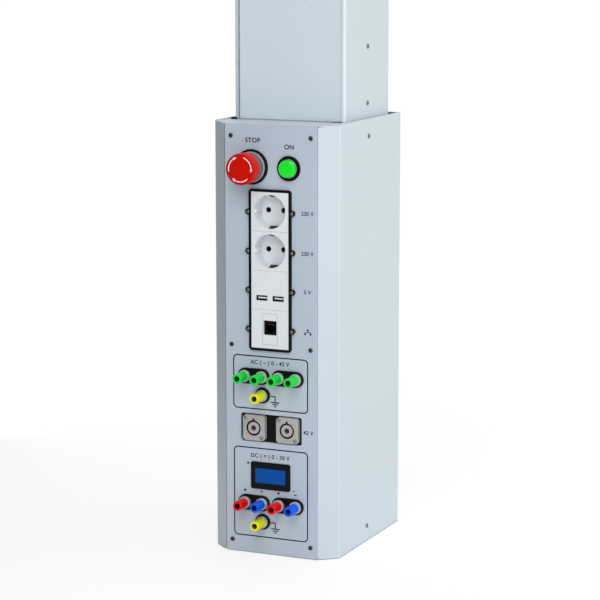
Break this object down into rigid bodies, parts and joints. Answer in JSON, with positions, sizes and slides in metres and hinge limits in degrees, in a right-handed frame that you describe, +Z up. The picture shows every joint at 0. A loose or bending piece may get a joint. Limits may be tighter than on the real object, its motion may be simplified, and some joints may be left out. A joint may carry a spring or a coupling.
{
  "type": "ceiling service pendant",
  "caption": "Ceiling-hung service column: a sheet-metal trunk and a head with mains, data and low-voltage outlets, binding posts, meter, lamp and emergency stop.",
  "frame": {"origin": "centre of the ceiling plate's upper face", "axes": "+Z up, -Y out of the control panel, +X to the panel's right"},
  "size_m": [0.2, 0.2455, 1],
  "materials": {
    "painted_sheet": "satin powder coat, pale blue grey",
    "panel_face": "matt lacquered panel, lavender grey",
    "plain_steel": "zinc plated",
    "dark_screw": "black oxide",
    "pale_screw": "zinc plated",
    "black_plastic": "moulded, soft gloss",
    "white_plastic": "moulded, soft gloss",
    "grey_plastic": "moulded, fine texture",
    "dark_grey_plastic": "moulded",
    "red_plastic": "moulded, gloss",
    "lamp_green": "lit translucent lens",
    "bright_metal": "plated",
    "display_blue": "lit display behind a clear window",
    "pale_clear_plastic": "translucent",
    "cap_green": "moulded, gloss",
    "cap_red": "moulded, gloss",
    "cap_blue": "moulded, gloss",
    "cap_yellow": "moulded, gloss",
    "brass": "turned"
  },
  "bodies": {
    "column": {"ceiling_plate": "painted_sheet", "trunk_channel": "painted_sheet", "trunk_cover": "painted_sheet", "hanger_bars": "plain_steel", "side_screws": "dark_screw", "front_frame": "painted_sheet", "housing_cover": "painted_sheet", "top_plate": "painted_sheet", "bottom_plate": "painted_sheet", "front_panel": "panel_face", "panel_screws": "dark_screw", "socket_frame": "black_plastic", "socket_frame_screws": "pale_screw", "mains_socket_upper": "white_plastic", "mains_socket_lower": "white_plastic", "socket_contacts": "bright_metal", "usb_plate": "white_plastic", "usb_ports": "plain_steel", "lan_plate": "white_plastic", "lan_insert": "white_plastic", "lan_jack": "black_plastic", "estop_ring": "black_plastic", "estop_collar": "dark_grey_plastic", "estop_contact_block": "black_plastic", "control_locknuts": "black_plastic", "lamp_bezel": "black_plastic", "lamp_ring": "bright_metal", "lamp_lens": "lamp_green", "low_voltage_backplate": "black_plastic", "low_voltage_socket_left": "grey_plastic", "low_voltage_socket_right": "grey_plastic", "low_voltage_screws": "dark_screw", "meter_bezel": "black_plastic", "meter_window": "display_blue", "post_bases": "black_plastic", "post_collars": "pale_clear_plastic", "post_studs": "brass", "post_nuts": "brass"},
    "estop_plunger": {"estop_plunger": "dark_grey_plastic"},
    "estop_head": {"estop_head": "red_plastic"},
    "bush_ac_green_1": {"bush_ac_green_1": "brass"},
    "cap_ac_green_1": {"cap_ac_green_1": "cap_green"},
    "bush_ac_green_2": {"bush_ac_green_2": "brass"},
    "cap_ac_green_2": {"cap_ac_green_2": "cap_green"},
    "bush_ac_green_3": {"bush_ac_green_3": "brass"},
    "cap_ac_green_3": {"cap_ac_green_3": "cap_green"},
    "bush_ac_green_4": {"bush_ac_green_4": "brass"},
    "cap_ac_green_4": {"cap_ac_green_4": "cap_green"},
    "bush_ac_earth": {"bush_ac_earth": "brass"},
    "cap_ac_earth": {"cap_ac_earth": "cap_yellow"},
    "bush_dc_red_1": {"bush_dc_red_1": "brass"},
    "cap_dc_red_1": {"cap_dc_red_1": "cap_red"},
    "bush_dc_blue_2": {"bush_dc_blue_2": "brass"},
    "cap_dc_blue_2": {"cap_dc_blue_2": "cap_blue"},
    "bush_dc_red_3": {"bush_dc_red_3": "brass"},
    "cap_dc_red_3": {"cap_dc_red_3": "cap_red"},
    "bush_dc_blue_4": {"bush_dc_blue_4": "brass"},
    "cap_dc_blue_4": {"cap_dc_blue_4": "cap_blue"},
    "bush_dc_earth": {"bush_dc_earth": "brass"},
    "cap_dc_earth": {"cap_dc_earth": "cap_yellow"}
  },
  "joints": [
    {"name": "estop_push", "type": "slide", "parent": "column", "child": "estop_plunger", "axis": [0, 1, 0], "range_m": [0, 0.004]},
    {"name": "estop_twist", "type": "hinge", "parent": "estop_plunger", "child": "estop_head", "pos_m": [-0.0233, -0.1435, -0.5486], "axis": [0, 1, 0], "range_deg": [0, 35], "stiffness_Nm_per_rad": 0.02},
    {"name": "lift_ac_green_1", "type": "slide", "parent": "column", "child": "bush_ac_green_1", "axis": [0, -1, 0], "range_m": [0, 0.005]},
    {"name": "turn_ac_green_1", "type": "hinge", "parent": "bush_ac_green_1", "child": "cap_ac_green_1", "pos_m": [-0.032, -0.1311, -0.79], "axis": [0, -1, 0], "range_deg": [0, 1440]},
    {"name": "lift_ac_green_2", "type": "slide", "parent": "column", "child": "bush_ac_green_2", "axis": [0, -1, 0], "range_m": [0, 0.005]},
    {"name": "turn_ac_green_2", "type": "hinge", "parent": "bush_ac_green_2", "child": "cap_ac_green_2", "pos_m": [-0.0106, -0.1311, -0.79], "axis": [0, -1, 0], "range_deg": [0, 1440]},
    {"name": "lift_ac_green_3", "type": "slide", "parent": "column", "child": "bush_ac_green_3", "axis": [0, -1, 0], "range_m": [0, 0.005]},
    {"name": "turn_ac_green_3", "type": "hinge", "parent": "bush_ac_green_3", "child": "cap_ac_green_3", "pos_m": [0.0106, -0.1311, -0.79], "axis": [0, -1, 0], "range_deg": [0, 1440]},
    {"name": "lift_ac_green_4", "type": "slide", "parent": "column", "child": "bush_ac_green_4", "axis": [0, -1, 0], "range_m": [0, 0.005]},
    {"name": "turn_ac_green_4", "type": "hinge", "parent": "bush_ac_green_4", "child": "cap_ac_green_4", "pos_m": [0.032, -0.1311, -0.79], "axis": [0, -1, 0], "range_deg": [0, 1440]},
    {"name": "lift_ac_earth", "type": "slide", "parent": "column", "child": "bush_ac_earth", "axis": [0, -1, 0], "range_m": [0, 0.005]},
    {"name": "turn_ac_earth", "type": "hinge", "parent": "bush_ac_earth", "child": "cap_ac_earth", "pos_m": [-0.0103, -0.1311, -0.8117], "axis": [0, -1, 0], "range_deg": [0, 1440]},
    {"name": "lift_dc_red_1", "type": "slide", "parent": "column", "child": "bush_dc_red_1", "axis": [0, -1, 0], "range_m": [0, 0.005]},
    {"name": "turn_dc_red_1", "type": "hinge", "parent": "bush_dc_red_1", "child": "cap_dc_red_1", "pos_m": [-0.032, -0.1311, -0.9396], "axis": [0, -1, 0], "range_deg": [0, 1440]},
    {"name": "lift_dc_blue_2", "type": "slide", "parent": "column", "child": "bush_dc_blue_2", "axis": [0, -1, 0], "range_m": [0, 0.005]},
    {"name": "turn_dc_blue_2", "type": "hinge", "parent": "bush_dc_blue_2", "child": "cap_dc_blue_2", "pos_m": [-0.0106, -0.1311, -0.9396], "axis": [0, -1, 0], "range_deg": [0, 1440]},
    {"name": "lift_dc_red_3", "type": "slide", "parent": "column", "child": "bush_dc_red_3", "axis": [0, -1, 0], "range_m": [0, 0.005]},
    {"name": "turn_dc_red_3", "type": "hinge", "parent": "bush_dc_red_3", "child": "cap_dc_red_3", "pos_m": [0.0106, -0.1311, -0.9396], "axis": [0, -1, 0], "range_deg": [0, 1440]},
    {"name": "lift_dc_blue_4", "type": "slide", "parent": "column", "child": "bush_dc_blue_4", "axis": [0, -1, 0], "range_m": [0, 0.005]},
    {"name": "turn_dc_blue_4", "type": "hinge", "parent": "bush_dc_blue_4", "child": "cap_dc_blue_4", "pos_m": [0.032, -0.1311, -0.9396], "axis": [0, -1, 0], "range_deg": [0, 1440]},
    {"name": "lift_dc_earth", "type": "slide", "parent": "column", "child": "bush_dc_earth", "axis": [0, -1, 0], "range_m": [0, 0.005]},
    {"name": "turn_dc_earth", "type": "hinge", "parent": "bush_dc_earth", "child": "cap_dc_earth", "pos_m": [-0.0103, -0.1311, -0.9613], "axis": [0, -1, 0], "range_deg": [0, 1440]}
  ],
  "couplings": [
    {"joint": "turn_ac_green_1", "follows": "lift_ac_green_1", "rad_per_m": 5026.5},
    {"joint": "turn_ac_green_2", "follows": "lift_ac_green_2", "rad_per_m": 5026.5},
    {"joint": "turn_ac_green_3", "follows": "lift_ac_green_3", "rad_per_m": 5026.5},
    {"joint": "turn_ac_green_4", "follows": "lift_ac_green_4", "rad_per_m": 5026.5},
    {"joint": "turn_ac_earth", "follows": "lift_ac_earth", "rad_per_m": 5026.5},
    {"joint": "turn_dc_red_1", "follows": "lift_dc_red_1", "rad_per_m": 5026.5},
    {"joint": "turn_dc_blue_2", "follows": "lift_dc_blue_2", "rad_per_m": 5026.5},
    {"joint": "turn_dc_red_3", "follows": "lift_dc_red_3", "rad_per_m": 5026.5},
    {"joint": "turn_dc_blue_4", "follows": "lift_dc_blue_4", "rad_per_m": 5026.5},
    {"joint": "turn_dc_earth", "follows": "lift_dc_earth", "rad_per_m": 5026.5}
  ]
}
